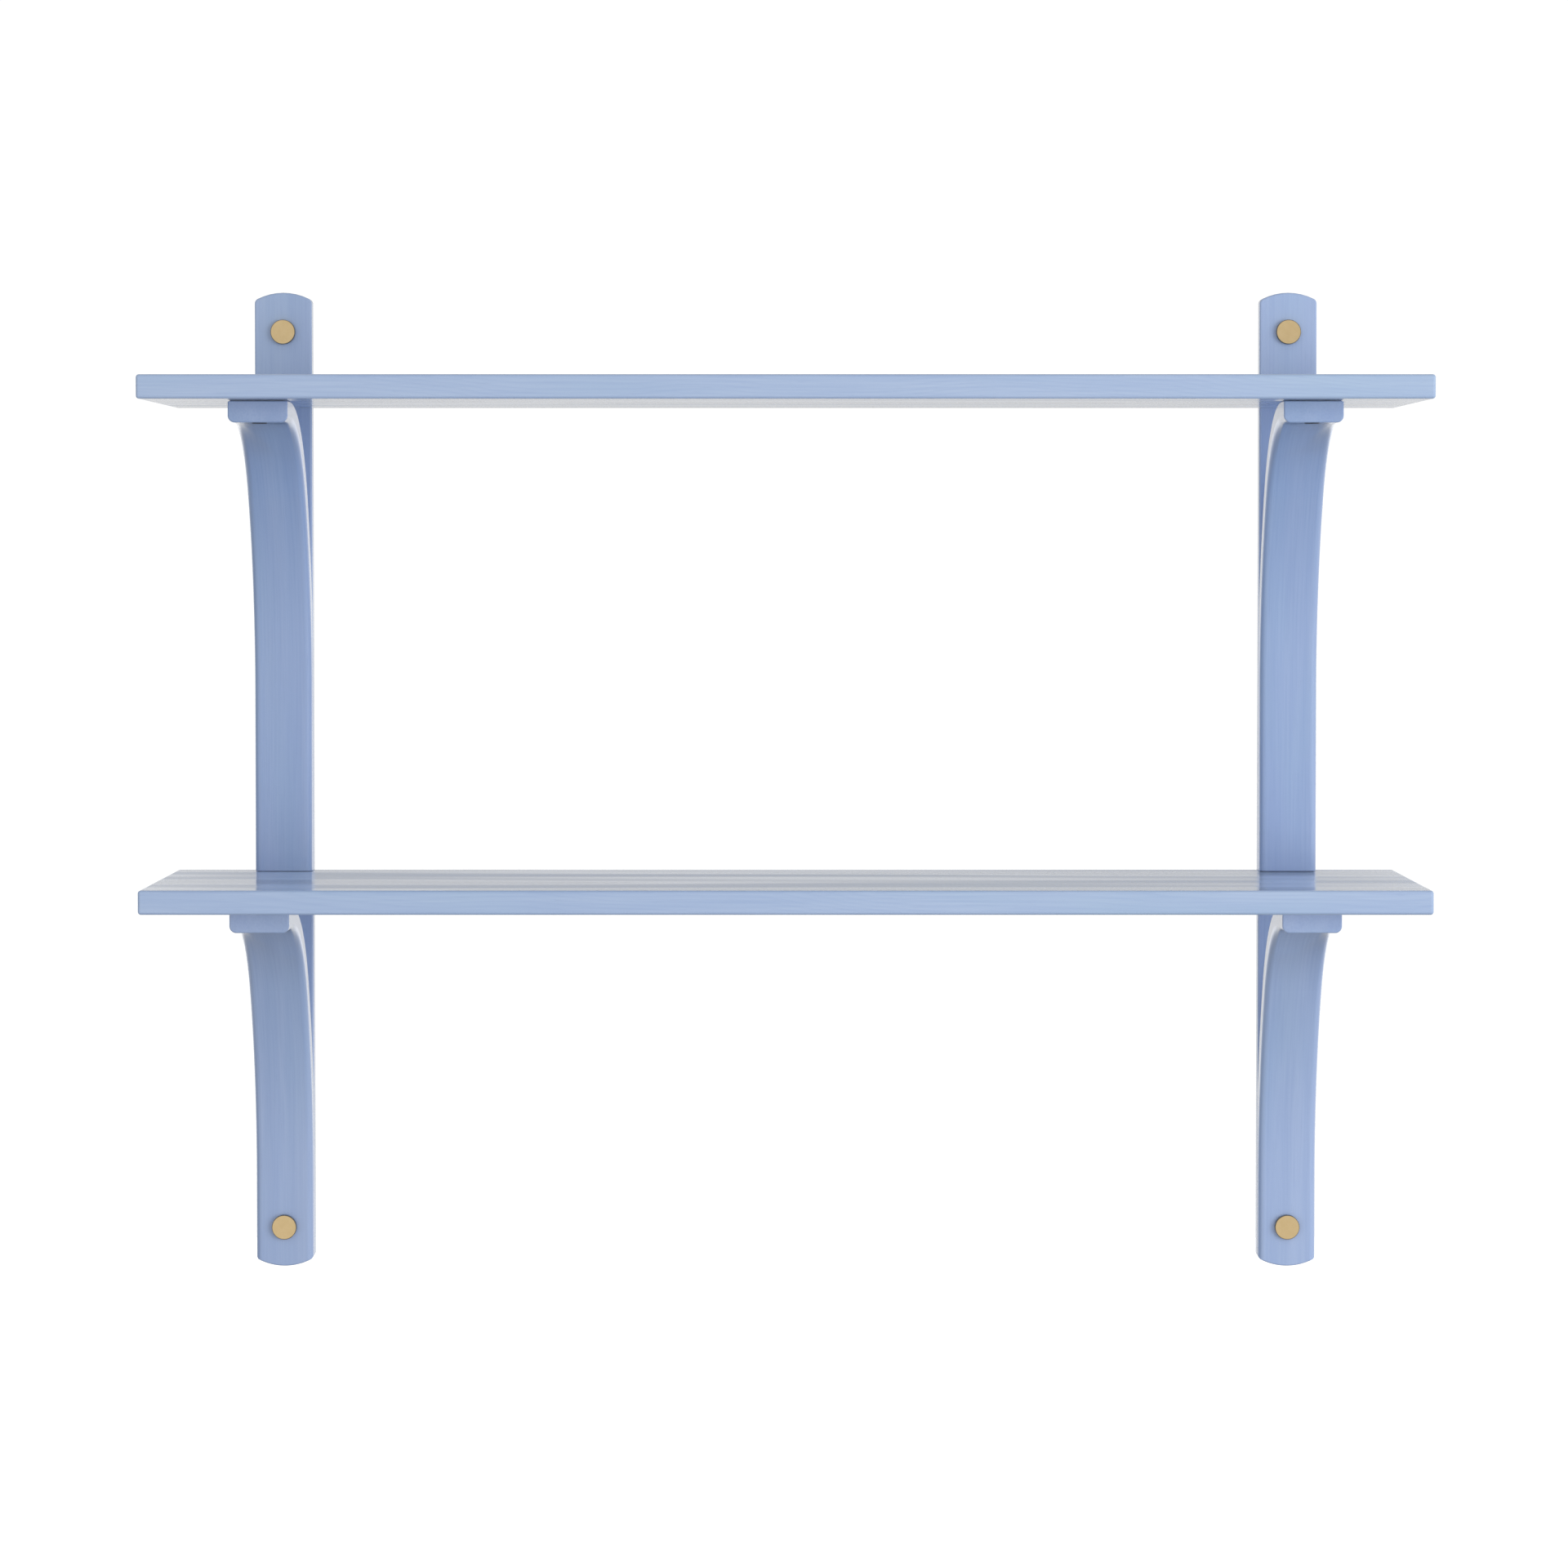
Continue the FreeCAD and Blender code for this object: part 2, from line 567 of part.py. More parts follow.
def make_lower_arm(side, template):
    """A lower arm: the same bend, its tail trimmed to the bracket's crowned end by the template."""
    name = f"lower_{side}_arm"
    band = doc.addObject("PartDesign::Body", f"{name}_band")
    shape_arm(band, f"{name}_band", "lower")
    drop = f"-Sizes.wall_screw_step / 2 - {ARM_TOPS['lower']}"
    wall_hole(band, f"{name}_wall_hole", drop, "-Sizes.leg_front")
    arm = doc.addObject("Part::Common", name)
    arm.Base = band
    arm.Tool = template
    arm.Label = name
    sub_parts.append(arm)
    doc.recompute()
    place(arm, x=BRACKETS[side], z=ARM_TOPS["lower"])


# ---------------------------------------------------------------- screws and caps

def cross_recess(body, name, role, surface, reach, reverse=False):
    """Two crossed slots in a screw's head; surface is the head's distance along the sketch's normal."""
    half_width = "Sizes.slot_width / 2"
    for number, (wide, high) in enumerate([(reach, half_width), (half_width, reach)], start=1):
        slot = sketch_on(body, role, f"{name}_slot_{number}")
        slot.setExpression(".AttachmentOffset.Base.z", surface)
        rectangle(slot, "slot", f"-{wide}", wide, f"-{high}", high)
        pocket(body, slot, f"{name}_slot_cut_{number}", "Sizes.slot_depth", reverse=reverse)


def make_wall_screw(end, side):
    """Countersunk wall screw, tapped for the cap; its thread starts at the wall's surface, y = 0."""
    name = f"{end}_{side}_wall_screw"
    body = new_body(name)
    grip = "Sizes.upright_thick" if end == "top" else "Sizes.leg_front"
    head, shank = "Sizes.wall_screw_head / 2", "Sizes.wall_screw_shank / 2"
    crest, reach = "Sizes.wall_screw_diameter / 2", "Sizes.wall_screw_reach"
    section = sketch_on(body, "XY_Plane", f"{name}_section")
    corners = [("0", f"-{grip}"), (head, f"-{grip}"), (shank, f"{head} - {shank} - {grip}"), (shank, "0"),
               (crest, "0"), (crest, f"{reach} - Sizes.wall_screw_tip"), ("0", reach)]
    polygon(section, "section", corners)
    turn(body, section, f"{name}_turned")
    thread = "Sizes.cap_thread / 2 + Sizes.screw_play"
    bottom = f"Sizes.cap_thread_depth + Sizes.screw_play - {grip}"
    tapped = [("0", f"-{grip}"), (thread, f"-{grip}"), (thread, bottom), ("0", bottom)]
    turned_hole(body, f"{name}_tapped_hole", "0", tapped)
    cross_recess(body, name, "XZ_Plane", grip, "Sizes.wall_screw_slot")
    sign = "" if end == "top" else "-"
    place(body, x=BRACKETS[side], z=f"{sign}Sizes.wall_screw_step / 2")


def make_cap(end, side):
    """Brass disc with a shadow gap behind it and a thread that screws into the wall screw's head."""
    name = f"{end}_{side}_cap"
    body = new_body(name)
    disc, neck, thread = "Sizes.cap_diameter / 2", "Sizes.cap_neck / 2", "Sizes.cap_thread / 2"
    depth, back, front = "Sizes.cap_thread_depth", "-Sizes.cap_neck_height", "-Sizes.cap_height"
    section = sketch_on(body, "XY_Plane", f"{name}_section")
    corners = [("0", depth), (thread, depth), (thread, "0"), (neck, "0"), (neck, back), (disc, back),
               (disc, front), ("0", front)]
    polygon(section, "section", corners)
    turned = turn(body, section, f"{name}_turned")
    rim = rim_edges(turned, FreeCAD.Vector(0, -1, 0), size("cap_height"))
    fillet(body, turned, rim, f"{name}_rim", "Sizes.cap_round")
    sign, seat = ("", "Sizes.upright_thick") if end == "top" else ("-", "Sizes.leg_front")
    place(body, x=BRACKETS[side], y=f"-{seat}", z=f"{sign}Sizes.wall_screw_step / 2")


def make_board_screw(level, side):
    """Flat-headed screw that goes up through the arm into the board; z = 0 is the arm's top."""
    name = f"{level}_{side}_board_screw"
    body = new_body(name)
    shank, head = "Sizes.board_screw_diameter / 2", "Sizes.board_screw_head / 2"
    low = "-Sizes.arm_thick - Sizes.board_screw_proud"
    section = sketch_on(body, "XZ_Plane", f"{name}_section")
    point = "Sizes.board_screw_grip - Sizes.board_screw_diameter"
    corners = [("0", "Sizes.board_screw_grip"), ("0", low), (head, low), (head, BOARD_SCREW_SEAT),
               (shank, BOARD_SCREW_SEAT), (shank, point)]
    polygon(section, "section", corners)
    turned = turn(body, section, f"{name}_turned")
    rim = rim_edges(turned, FreeCAD.Vector(0, 0, -1), size("arm_thick") + size("board_screw_proud"))
    fillet(body, turned, rim, f"{name}_head_rim", "Sizes.board_screw_round")
    cross_recess(body, name, "XY_Plane", low, "Sizes.board_screw_slot", reverse=True)
    place(body, x=BRACKETS[side], y="Sizes.board_screw_inset - Sizes.arm_reach", z=ARM_TOPS[level])


def make_arm_screws(level, side):
    """Two countersunk screws, flush with the upright's back, that hold an arm's tail to it."""
    name = f"{level}_{side}_arm_screws"
    pair = []
    head, shank = "Sizes.arm_screw_head / 2", "Sizes.arm_screw_diameter / 2"
    for number, drop in enumerate(ARM_SCREWS[level], start=1):
        body = doc.addObject("PartDesign::Body", f"{name}_{number}")
        section = sketch_on(body, "XY_Plane", f"{name}_section_{number}")
        point = "Sizes.arm_screw_diameter - Sizes.arm_screw_length"
        corners = [("0", "0"), ("0", "-Sizes.arm_screw_length"), (shank, point),
                   (shank, f"{shank} - {head}"), (head, "0")]
        polygon(section, "section", corners)
        turn(body, section, f"{name}_turned_{number}")
        cross_recess(body, f"{name}_{number}", "XZ_Plane", "0", "Sizes.arm_screw_slot", reverse=True)
        place(body, z=f"-{drop}")
        pair.append(body)
    group = doc.addObject("Part::Compound", name)
    group.Links = pair
    group.Label = name
    sub_parts.append(group)
    place(group, x=BRACKETS[side], z=ARM_TOPS[level])


# ---------------------------------------------------------------- the whole shelf

make_board("upper_shelf", "Sizes.upper_board_top")
make_board("lower_shelf", "Sizes.upper_board_top - Sizes.board_step")
template = make_crown_template()
for bracket_side in BRACKETS:
    make_upright(bracket_side)
    make_upper_arm(bracket_side)
    make_lower_arm(bracket_side, template)
    for bracket_end in ("top", "bottom"):
        make_wall_screw(bracket_end, bracket_side)
        make_cap(bracket_end, bracket_side)
    for arm_level in ARM_TOPS:
        make_board_screw(arm_level, bracket_side)
        make_arm_screws(arm_level, bracket_side)
doc.recompute()

for item in doc.Objects:
    if "Invalid" in item.State or "Error" in item.State:
        raise RuntimeError(f"{item.Name} failed: {item.State}")
for sub_part in sub_parts:
    if sub_part.Shape.isNull() or not sub_part.Shape.isValid():
        raise RuntimeError(f"{sub_part.Label} has a bad shape")

os.makedirs("parts", exist_ok=True)
for sub_part in sub_parts:
    sub_part.Shape.exportStep(f"parts/{sub_part.Label}.step")
    box = sub_part.Shape.optimalBoundingBox()
    solids, volume = len(sub_part.Shape.Solids), sub_part.Shape.Volume
    print(f"{sub_part.Label:28s} {solids} solids, {volume:8.0f} mm3, z {box.ZMin:6.1f} to {box.ZMax:6.1f}")
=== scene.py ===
import bpy
import bmesh
import math
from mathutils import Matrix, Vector


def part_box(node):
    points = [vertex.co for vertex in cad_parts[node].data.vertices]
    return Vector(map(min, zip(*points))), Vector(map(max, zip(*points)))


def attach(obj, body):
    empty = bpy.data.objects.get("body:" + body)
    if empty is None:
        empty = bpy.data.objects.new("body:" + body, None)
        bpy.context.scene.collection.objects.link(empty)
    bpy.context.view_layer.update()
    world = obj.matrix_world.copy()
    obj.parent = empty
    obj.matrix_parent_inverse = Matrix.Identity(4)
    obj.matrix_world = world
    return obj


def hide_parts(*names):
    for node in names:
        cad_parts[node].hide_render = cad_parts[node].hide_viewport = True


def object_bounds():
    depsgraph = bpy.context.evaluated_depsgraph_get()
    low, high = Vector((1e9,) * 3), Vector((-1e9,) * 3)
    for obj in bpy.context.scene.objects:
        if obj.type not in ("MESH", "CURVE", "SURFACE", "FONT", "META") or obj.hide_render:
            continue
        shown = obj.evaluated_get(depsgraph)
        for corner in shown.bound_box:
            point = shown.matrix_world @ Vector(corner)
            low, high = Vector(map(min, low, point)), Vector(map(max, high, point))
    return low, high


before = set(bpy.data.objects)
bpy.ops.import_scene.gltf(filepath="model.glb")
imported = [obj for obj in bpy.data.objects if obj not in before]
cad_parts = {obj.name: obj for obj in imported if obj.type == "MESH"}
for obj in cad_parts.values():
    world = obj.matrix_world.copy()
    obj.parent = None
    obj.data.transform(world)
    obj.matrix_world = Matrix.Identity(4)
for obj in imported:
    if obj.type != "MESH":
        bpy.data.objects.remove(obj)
cad_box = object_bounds()

# ---------------------------------------------------------------- sizes (metres)

ARM_THICK = 0.0155
LEG_FRONT = 0.019          # wall to the front of an arm's tail
SWEEP_RADIUS = 0.285       # hollow side of the long bend
KNEE_RADIUS = 0.103        # hollow side of the tight bend
SWEEP_ANGLE = math.radians(30)

SCREW_HEAD = 0.0050        # radii of a wall screw: head, plain shank, thread's crest and root, bore
SCREW_SHANK = 0.0021
SCREW_CREST = 0.0025
SCREW_ROOT = 0.0017
SCREW_BORE = 0.00155       # the cap's thread goes in here
SCREW_BORE_DEPTH = 0.00305
SCREW_RUN_OUT = 0.0004     # step from the shank down to the thread's root
SCREW_PITCH = 0.0022
SCREW_FLANK = 0.28         # half the width of the thread's foot, in pitches
SCREW_TIP = 0.008
SCREW_TIP_CREST = 2.2      # how much sooner than its core the point's thread is full
SCREW_REACH = 0.050        # behind the wall's surface
SCREW_SIDES = 40           # faces round a wall screw
SCREW_TURN_STEPS = 14      # rings in one turn of the thread
SCREW_CREASE = math.radians(32)    # edges sharper than this stay sharp

FLOOR_DROP = 1.1           # floor below the shelf's lowest point
FLOOR_HALF = 7.0           # half the length of its sides
KEY_PLACE = (2.6, -2.5, 0.1)
KEY_SIZE = 2.2
KEY_POWER = 45.0           # watts
CAMERA_DISTANCE = 3.1887   # from the wall's plane
CAMERA_HEIGHT = 0.1689
CAMERA_PITCH = 1.537       # degrees down
CAMERA_LENS = 99.07        # mm, on the sensor below
CAMERA_SENSOR = 36.0
CAMERA_SHIFT = (-0.0011, -0.075)

# Brightness of the studio round the shelf.
FLOOR_GLOW = 0.22          # straight down
ROOM_GLOW = 0.86           # round the horizon
CEILING_GLOW = 0.50        # straight up
LEFT_SHARE = 0.35          # part of that left straight to the left
RIGHT_SHARE = 0.85         # and straight to the right
BACK_LOW_GLOW = 0.76       # behind the shelf, at and below the horizon
BACK_HIGH_GLOW = 0.52      # behind the shelf, a little higher up
STRIP_GLOW = 1.26          # beside that
CLEAN_WHITE = 1.05         # what the camera itself sees


# ---------------------------------------------------------------- node helpers

class Nodes:
    """Short names for building a node tree."""

    def __init__(self, tree):
        self.tree = tree

    def add(self, kind, **settings):
        node = self.tree.nodes.new(kind)
        for key, value in settings.items():
            setattr(node, key, value)
        return node

    def link(self, source, target):
        """Links an output, or sets a plain value."""
        if isinstance(source, bpy.types.NodeSocket):
            self.tree.links.new(source, target)
        else:
            target.default_value = source

    def math(self, operation, *values):
        node = self.add("ShaderNodeMath", operation=operation)
        for value, socket in zip(values, node.inputs):
            self.link(value, socket)
        return node.outputs[0]

    def add_up(self, first, *others):
        total = first
        for other in others:
            total = self.math("ADD", total, other)
        return total

    def combine(self, x, y, z):
        node = self.add("ShaderNodeCombineXYZ")
        for value, socket in zip((x, y, z), node.inputs):
            self.link(value, socket)
        return node.outputs[0]

    def object_axes(self):
        """Object coordinates, which are the part's own frame in metres."""
        place = self.add("ShaderNodeTexCoord").outputs["Object"]
        split = self.add("ShaderNodeSeparateXYZ")
        self.link(place, split.inputs[0])
        return split.outputs[0], split.outputs[1], split.outputs[2]

    def stretch(self, vector, scale, shift=(0, 0, 0)):
        """Vector times scale plus shift, axis by axis."""
        node = self.add("ShaderNodeVectorMath", operation="MULTIPLY_ADD")
        self.link(vector, node.inputs[0])
        node.inputs[1].default_value = scale
        node.inputs[2].default_value = shift
        return node.outputs[0]

    def noise(self, vector, detail=3.0, roughness=0.55):
        node = self.add("ShaderNodeTexNoise")
        self.link(vector, node.inputs["Vector"])
        node.inputs["Scale"].default_value = 1.0
        node.inputs["Detail"].default_value = detail
        node.inputs["Roughness"].default_value = roughness
        return node.outputs["Fac"]

    def spread(self, value, low, high, to_low=0.0, to_high=1.0):
        """Maps low..high to to_low..to_high, smoothly and held at the ends."""
        node = self.add("ShaderNodeMapRange", interpolation_type="SMOOTHSTEP")
        for source, socket in zip((value, low, high, to_low, to_high), node.inputs):
            self.link(source, socket)
        return node.outputs[0]

    def mix(self, factor, first, second):
        """Blends two colours, each an output or three plain numbers."""
        node = self.add("ShaderNodeMix", data_type="RGBA")
        self.link(factor, node.inputs[0])
        for source, socket in ((first, node.inputs[6]), (second, node.inputs[7])):
            plain = not isinstance(source, bpy.types.NodeSocket)
            self.link((*source, 1.0) if plain else source, socket)
        return node.outputs[2]

    def bump(self, height, distance, normal=None):
        """Normal of a surface raised by height times distance, on top of another normal if given."""
        node = self.add("ShaderNodeBump")
        node.inputs["Strength"].default_value = 1.0
        node.inputs["Distance"].default_value = distance
        self.link(height, node.inputs["Height"])
        if normal is not None:
            self.link(normal, node.inputs["Normal"])
        return node.outputs[0]


def new_material(name):
    """An empty material, the helper for its tree and its shader."""
    material = bpy.data.materials.new(name)
    material.use_nodes = True
    return material, Nodes(material.node_tree), material.node_tree.nodes["Principled BSDF"]


# ---------------------------------------------------------------- painted wood

def board_grain(nodes):
    """Grain along a board; the result is (along, across, through the thickness)."""
    return nodes.object_axes()


def upright_grain(nodes):
    """Grain up an upright."""
    x, y, z = nodes.object_axes()
    return z, x, y


def arm_grain(nodes, top):
    """Grain that follows the bent arm: up the tail, round both bends and out under the board.

    depth is the distance from the wall and drop the distance below the arm's top.
    """
    x, y, z = nodes.object_axes()
    depth = nodes.math("MULTIPLY", y, -1.0)
    drop = nodes.math("SUBTRACT", top, z)
    sweep_depth = LEG_FRONT + SWEEP_RADIUS
    sweep_drop = ARM_THICK + (SWEEP_RADIUS - KNEE_RADIUS) * math.sin(SWEEP_ANGLE) + KNEE_RADIUS
    sweep_in_depth = SWEEP_RADIUS * (1 - math.cos(SWEEP_ANGLE))
    knee_depth = LEG_FRONT + sweep_in_depth + KNEE_RADIUS * math.cos(SWEEP_ANGLE)
    knee_drop = ARM_THICK + KNEE_RADIUS

    sweep_in = nodes.math("SUBTRACT", sweep_depth, depth)
    sweep_up = nodes.math("MAXIMUM", nodes.math("SUBTRACT", sweep_drop, drop), 0.0)
    knee_in = nodes.math("MAXIMUM", nodes.math("SUBTRACT", knee_depth, depth), 0.0)
    knee_up = nodes.math("SUBTRACT", knee_drop, drop)

    sweep_turn = nodes.math("MINIMUM", nodes.math("ARCTAN2", sweep_up, sweep_in), SWEEP_ANGLE)
    knee_turn = nodes.math("MAXIMUM", nodes.math("ARCTAN2", knee_up, knee_in), SWEEP_ANGLE)
    tail = nodes.math("MAXIMUM", nodes.math("SUBTRACT", drop, sweep_drop), 0.0)
    flat = nodes.math("MAXIMUM", nodes.math("SUBTRACT", depth, knee_depth), 0.0)
    sweep_run = nodes.math("MULTIPLY", sweep_turn, SWEEP_RADIUS + ARM_THICK / 2)
    past = nodes.math("SUBTRACT", knee_turn, SWEEP_ANGLE)
    knee_run = nodes.math("MULTIPLY", past, KNEE_RADIUS + ARM_THICK / 2)
    bends = nodes.math("ADD", sweep_run, knee_run)
    along = nodes.math("ADD", nodes.math("SUBTRACT", bends, tail), flat)

    def beyond(across, up, radius):
        squares = nodes.math("MULTIPLY", across, across)
        far = nodes.math("SQRT", nodes.math("MULTIPLY_ADD", up, up, squares))
        return nodes.math("SUBTRACT", far, radius)

    in_knee = nodes.math("GREATER_THAN", past, 0.0)
    through_sweep = beyond(sweep_in, sweep_up, SWEEP_RADIUS)
    through_knee = beyond(knee_in, knee_up, KNEE_RADIUS)
    change = nodes.math("SUBTRACT", through_knee, through_sweep)
    through = nodes.math("MULTIPLY_ADD", in_knee, change, through_sweep)
    return along, x, through


PALE = (0.440, 0.560, 0.810)
MIDDLE = (0.375, 0.500, 0.770)
DEEP = (0.270, 0.390, 0.680)
GREENISH = (0.385, 0.545, 0.765)
# Painted light and shade: each piece gets a lighter or darker copy of the one paint. The boards and
# uprights are painted lighter, the arms under the boards painted darker, and the right-hand bracket
# painted lighter than the left, as if lit from the right.
BOARD_PAINTED_LIGHT = (1.14, 1.12, 1.06)
BRACKET_PAINTED_LIGHT = {"left": 0.97, "right": 1.03}
ARM_PAINTED_SHADE = {"upper": (0.86, 0.885, 0.93), "lower": (0.95, 0.955, 0.985)}
UPRIGHT_PAINTED_LIGHT = (1.06, 1.03, 1.01)

# Roughness of the wood and of the lacquer on it.
BOARD_SATIN = (0.32, 0.12)
BRACKET_SATIN = (0.24, 0.11)

# Waves of the lacquer: how many to a metre (along, across, through), and their height in metres.
BOARD_SWELL = ((1.2, 13, 13), 0.0070)
BRACKET_SWELL = ((5, 38, 38), 0.0012)

# Features to a metre along the grain, across it and through the thickness.
WANDER = (3.2, 14, 14)
WAVE = (16, 45, 45)
BAND = (2.6, 60, 60)
TINT = (4.5, 22, 22)
BRUSH_MARKS = (9, 260, 260)
FIBRES = (14, 700, 700)
PORES = (60, 2600, 2600)

LAYER_COUNT = 260.0        # growth layers to a metre of depth
LAYER_SHIFT = 0.012        # depth at which their count starts, in metres
LAYER_SLOPE = 0.045        # of the layers along the piece
LAYER_BOW = 9.0            # of the layers across it, to a metre
WANDER_DEPTH = 0.055       # how far the layers wander, in metres
WAVE_DEPTH = 0.0035
BRUSH_HEIGHT = 0.00006     # metres
FIBRE_HEIGHT = 0.00003
LACQUER_IOR = 1.5


def growth_layers(nodes, place, along, across, through):
    """Dark late wood of the growth layers, from 0 to 1.

    The layers wander slowly, lie at a low angle to the face and bow across the width.
    """
    wander = nodes.math("MULTIPLY", nodes.noise(nodes.stretch(place, WANDER), detail=2), WANDER_DEPTH)
    wave = nodes.math("MULTIPLY", nodes.noise(nodes.stretch(place, WAVE), detail=2), WAVE_DEPTH)
    lean = nodes.math("MULTIPLY_ADD", along, LAYER_SLOPE, wander)
    bow = nodes.math("MULTIPLY", nodes.math("MULTIPLY", across, across), LAYER_BOW)
    layer = nodes.add_up(through, lean, LAYER_SHIFT, bow, wave)
    rings = nodes.math("FRACT", nodes.math("MULTIPLY", layer, LAYER_COUNT))
    return nodes.math("MULTIPLY", nodes.spread(rings, 0.35, 0.93), nodes.spread(rings, 1.0, 0.93))


def painted_wood(name, painted_light, satin, swell, grain, offset, *arguments):
    """Thin blue lacquer over wood: growth layers, fibres and pores show through.

    The second argument paints the piece's light and shade: it multiplies the colours, making a lighter
    or darker copy of the one paint. offset takes each piece from another part of the tree, and arguments
    go to grain, which gives the piece's directions along, across and through the wood.
    """
    material, nodes, shader = new_material(name)
    along, across, through = grain(nodes, *arguments)
    # Painted light and shade: the paint's colours are made lighter or darker for this piece.
    pale, middle, deep, greenish = (tuple(c * t for c, t in zip(colour, painted_light))
                                    for colour in (PALE, MIDDLE, DEEP, GREENISH))
    place = nodes.stretch(nodes.combine(along, across, through), (1, 1, 1), offset)

    late = growth_layers(nodes, place, along, across, through)
    fibre = nodes.noise(nodes.stretch(place, FIBRES), detail=4, roughness=0.6)
    band = nodes.noise(nodes.stretch(place, BAND), detail=3)
    # The shifts here and below keep the patterns from repeating each other.
    tint = nodes.noise(nodes.stretch(place, TINT, (3, 7, 5)), detail=2)
    pore = nodes.spread(nodes.noise(nodes.stretch(place, PORES, (1, 2, 9)), detail=1), 0.66, 0.78)

    colour = nodes.mix(nodes.spread(band, 0.3, 0.7), pale, middle)
    colour = nodes.mix(nodes.spread(tint, 0.42, 0.75, 0.0, 0.45), colour, greenish)
    colour = nodes.mix(nodes.spread(fibre, 0.35, 0.75, 0.0, 0.30), colour, deep)
    colour = nodes.mix(nodes.math("MULTIPLY", late, 0.16), colour, deep)
    colour = nodes.mix(nodes.math("MULTIPLY", pore, 0.25), colour, deep)
    nodes.link(colour, shader.inputs["Base Color"])

    wood_roughness, lacquer_roughness = satin
    rough = nodes.math("MULTIPLY_ADD", fibre, 0.12, wood_roughness)
    nodes.link(nodes.math("MULTIPLY_ADD", pore, 0.15, rough), shader.inputs["Roughness"])
    shader.inputs["IOR"].default_value = LACQUER_IOR
    shader.inputs["Coat Weight"].default_value = 1.0
    shader.inputs["Coat Roughness"].default_value = lacquer_roughness
    shader.inputs["Coat IOR"].default_value = LACQUER_IOR

    # The lacquer follows only the long waves; the wood under it has brush marks, fibres and pores too.
    wave_count, wave_height = swell
    waves = nodes.noise(nodes.stretch(place, wave_count, (2, 8, 1)), detail=1)
    lacquer = nodes.bump(waves, wave_height)
    nodes.link(lacquer, shader.inputs["Coat Normal"])
    brush = nodes.noise(nodes.stretch(place, BRUSH_MARKS, (5, 1, 3)), detail=2)
    relief = nodes.bump(brush, BRUSH_HEIGHT, lacquer)
    grooves = nodes.math("ADD", fibre, nodes.math("MULTIPLY", pore, -1.2))
    nodes.link(nodes.bump(grooves, FIBRE_HEIGHT, relief), shader.inputs["Normal"])
    return material


# ---------------------------------------------------------------- metals

METAL_RELIEF = 0.00001     # height of the metals' brushing and mottle, in metres
RIM_SHADE_WIDTH = (0.0006, 0.0002)   # painted shade at the caps' rims, from the rim inwards: where it starts, and where it is full


def brass():
    """Satin brass with faint clouds; the rim of each cap is painted dark, a painted shadow and dark
    reflection at its edge.
    """
    material, nodes, shader = new_material("satin_brass")
    x, y, z = nodes.object_axes()
    place = nodes.combine(x, y, z)
    cloud = nodes.noise(nodes.stretch(place, (240, 240, 240)))
    brushed = nodes.noise(nodes.stretch(place, (700, 700, 9000)))
    colour = nodes.mix(nodes.spread(cloud, 0.3, 0.7), (0.82, 0.62, 0.335), (0.79, 0.59, 0.31))
    # The caps lie symmetrically about the origin, so one of them gives the axis of all four.
    low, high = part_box("top_right_cap")
    from_axis = [nodes.math("SUBTRACT", nodes.math("ABSOLUTE", way), (low[axis] + high[axis]) / 2)
                 for axis, way in ((0, x), (2, z))]
    squares = [nodes.math("MULTIPLY", way, way) for way in from_axis]
    radius = nodes.math("SQRT", nodes.math("ADD", *squares))
    rim = (high[0] - low[0]) / 2
    start, full = (rim - width for width in RIM_SHADE_WIDTH)
    # Painted shade: darkens each cap's rim to stand in for the shadow and dark reflection round its
    # edge.
    rim_shade = nodes.spread(radius, start, full, 0.0, 0.85)
    nodes.link(nodes.mix(rim_shade, colour, (0.20, 0.17, 0.14)), shader.inputs["Base Color"])
    shader.inputs["Metallic"].default_value = 1.0
    nodes.link(nodes.math("MULTIPLY_ADD", brushed, 0.2, 0.3), shader.inputs["Roughness"])
    nodes.link(nodes.bump(brushed, METAL_RELIEF), shader.inputs["Normal"])
    return material


def zinc():
    """Bright zinc plate with its faint bluish and yellowish clouds."""
    material, nodes, shader = new_material("zinc_plate")
    place = nodes.combine(*nodes.object_axes())
    cloud = nodes.noise(nodes.stretch(place, (320, 320, 320)))
    speck = nodes.noise(nodes.stretch(place, (5200, 5200, 5200)), detail=2)
    colour = nodes.mix(nodes.spread(cloud, 0.35, 0.65), (0.60, 0.62, 0.66), (0.66, 0.64, 0.58))
    nodes.link(colour, shader.inputs["Base Color"])
    shader.inputs["Metallic"].default_value = 1.0
    nodes.link(nodes.math("MULTIPLY_ADD", speck, 0.2, 0.22), shader.inputs["Roughness"])
    nodes.link(nodes.bump(speck, METAL_RELIEF), shader.inputs["Normal"])
    return material


def black_steel():
    """Black-coated steel with a faint mottle."""
    material, nodes, shader = new_material("black_steel")
    place = nodes.combine(*nodes.object_axes())
    speck = nodes.noise(nodes.stretch(place, (3800, 3800, 3800)))
    colour = nodes.mix(nodes.spread(speck, 0.35, 0.65), (0.018, 0.021, 0.030), (0.030, 0.034, 0.045))
    nodes.link(colour, shader.inputs["Base Color"])
    nodes.link(nodes.math("MULTIPLY_ADD", speck, 0.2, 0.38), shader.inputs["Roughness"])
    nodes.link(nodes.bump(speck, METAL_RELIEF), shader.inputs["Normal"])
    return material


def coat(node, material):
    """Gives a CAD node's object its finished material."""
    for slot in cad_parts[node].material_slots:
        slot.material = material


